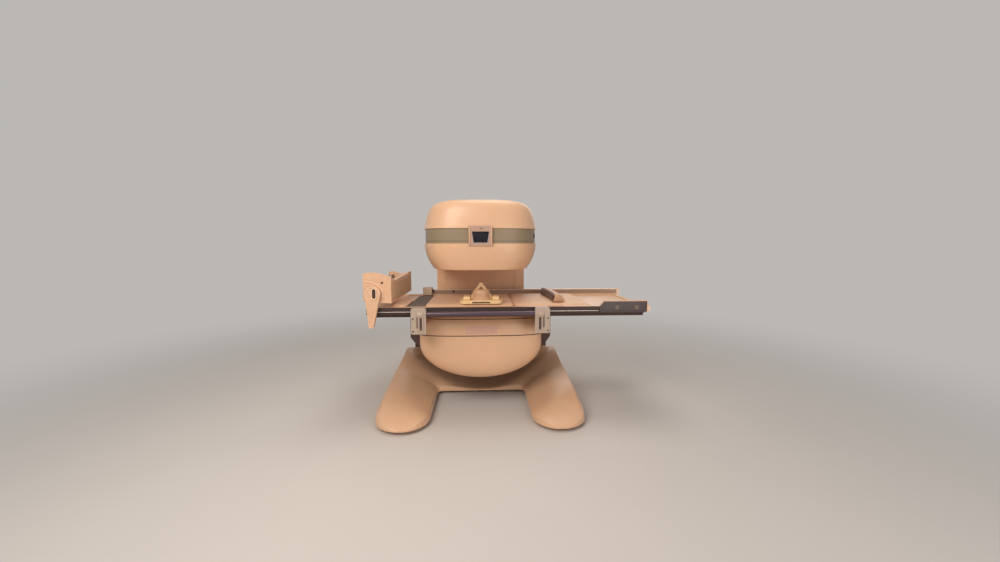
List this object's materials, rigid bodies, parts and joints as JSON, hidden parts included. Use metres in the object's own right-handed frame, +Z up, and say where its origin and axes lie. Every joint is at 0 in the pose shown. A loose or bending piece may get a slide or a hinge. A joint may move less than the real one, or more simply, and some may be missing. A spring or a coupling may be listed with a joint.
{
  "type": "mri scanner",
  "caption": "Tilting open magnetic resonance scanner: a C-shaped magnet on a two-footed base, with a sliding patient table and a footrest.",
  "frame": {"origin": "on the floor under the tilt axis, on the foot at the back of the bay between the two feet", "axes": "+X towards the head end of the table, +Y to the rear, along the tilt axis, +Z up"},
  "size_m": [2.676, 2.217, 2.0421],
  "materials": {
    "shell_ivory": "satin moulded shell",
    "trim_sage": "satin",
    "dark_shell": "fine textured",
    "plinth_black": "matt",
    "steel_frame": "satin",
    "yoke_steel": "machined and painted",
    "bright_steel": "brushed",
    "coil_resin": "cast resin",
    "screen_dark": "polished",
    "button_dark": "moulded",
    "button_light": "moulded",
    "table_shell": "satin moulded shell",
    "rail_aluminium": "anodised",
    "tube_dark": "satin",
    "pad_vinyl": "coated upholstery",
    "cushion_vinyl": "coated upholstery",
    "mat_rubber": "fine ribbed, light"
  },
  "bodies": {
    "base": {"pedestal_cover": "shell_ivory", "plinth": "plinth_black", "levelling_feet": "plinth_black", "tower_frame": "steel_frame", "tower_cover": "dark_shell", "rear_access_cover": "dark_shell", "front_bearing": "bright_steel", "rear_bearing": "bright_steel", "tilt_motor": "steel_frame"},
    "pinion": {"drive_pinion": "bright_steel"},
    "gantry": {"lower_yoke_plate": "yoke_steel", "upper_yoke_plate": "yoke_steel", "yoke_column": "yoke_steel", "lower_magnet": "yoke_steel", "upper_magnet": "yoke_steel", "lower_pole_piece": "bright_steel", "upper_pole_piece": "bright_steel", "lower_gradient_coil": "coil_resin", "upper_gradient_coil": "coil_resin", "lower_pole_cover": "shell_ivory", "upper_pole_cover": "shell_ivory", "upper_cover_top": "shell_ivory", "upper_cover_bottom": "shell_ivory", "trim_band": "trim_sage", "display_bezel": "shell_ivory", "display_screen": "screen_dark", "stop_button_ring": "shell_ivory", "column_cover": "shell_ivory", "column_panel": "shell_ivory", "bowl_upper_panel": "shell_ivory", "bowl_lower_cover": "shell_ivory", "drum_cover": "dark_shell", "tilt_hub": "yoke_steel", "ring_gear": "bright_steel", "front_tube": "tube_dark", "left_bracket": "shell_ivory", "right_bracket": "shell_ivory", "bracket_screws": "bright_steel", "guide_rails": "bright_steel"},
    "stop_knob": {"stop_button": "button_dark"},
    "table": {"table_top": "table_shell", "table_frame": "dark_shell", "near_side_rail": "dark_shell", "far_guide_rail": "rail_aluminium", "rail_end_blocks": "rail_aluminium", "control_panel": "table_shell", "centre_pad": "pad_vinyl", "head_pad": "pad_vinyl", "left_pad": "pad_vinyl", "wedge_cushion": "cushion_vinyl", "coil_base": "table_shell", "coil_housing": "table_shell"},
    "up_key": {"up_button": "button_light"},
    "down_key": {"down_button": "button_light"},
    "footrest": {"footplate": "table_shell", "footplate_mat": "mat_rubber", "near_cheek": "table_shell", "far_cheek": "table_shell", "footrest_arms": "table_shell", "footrest_tube": "tube_dark"}
  },
  "joints": [
    {"name": "gantry_tilt", "type": "hinge", "parent": "base", "child": "gantry", "pos_m": [0, 0, 1.17], "axis": [0, -1, 0], "range_deg": [0, 90]},
    {"name": "pinion_turn", "type": "hinge", "parent": "base", "child": "pinion", "pos_m": [0, 0.97, 0.81], "axis": [0, -1, 0], "range_deg": [-450, 0]},
    {"name": "table_slide", "type": "slide", "parent": "gantry", "child": "table", "axis": [1, 0, 0], "range_m": [0, 0.14]},
    {"name": "footrest_slide", "type": "slide", "parent": "table", "child": "footrest", "axis": [1, 0, 0], "range_m": [0, 0.12]},
    {"name": "stop_press", "type": "slide", "parent": "gantry", "child": "stop_knob", "axis": [-0.9063, 0.4226, 0], "range_m": [0, 0.005], "stiffness_N_per_m": 1500},
    {"name": "up_press", "type": "slide", "parent": "table", "child": "up_key", "axis": [0, 1, 0], "range_m": [0, 0.003], "stiffness_N_per_m": 800},
    {"name": "down_press", "type": "slide", "parent": "table", "child": "down_key", "axis": [0, 1, 0], "range_m": [0, 0.003], "stiffness_N_per_m": 800}
  ],
  "couplings": [
    {"joint": "pinion_turn", "follows": "gantry_tilt", "ratio": -5}
  ]
}
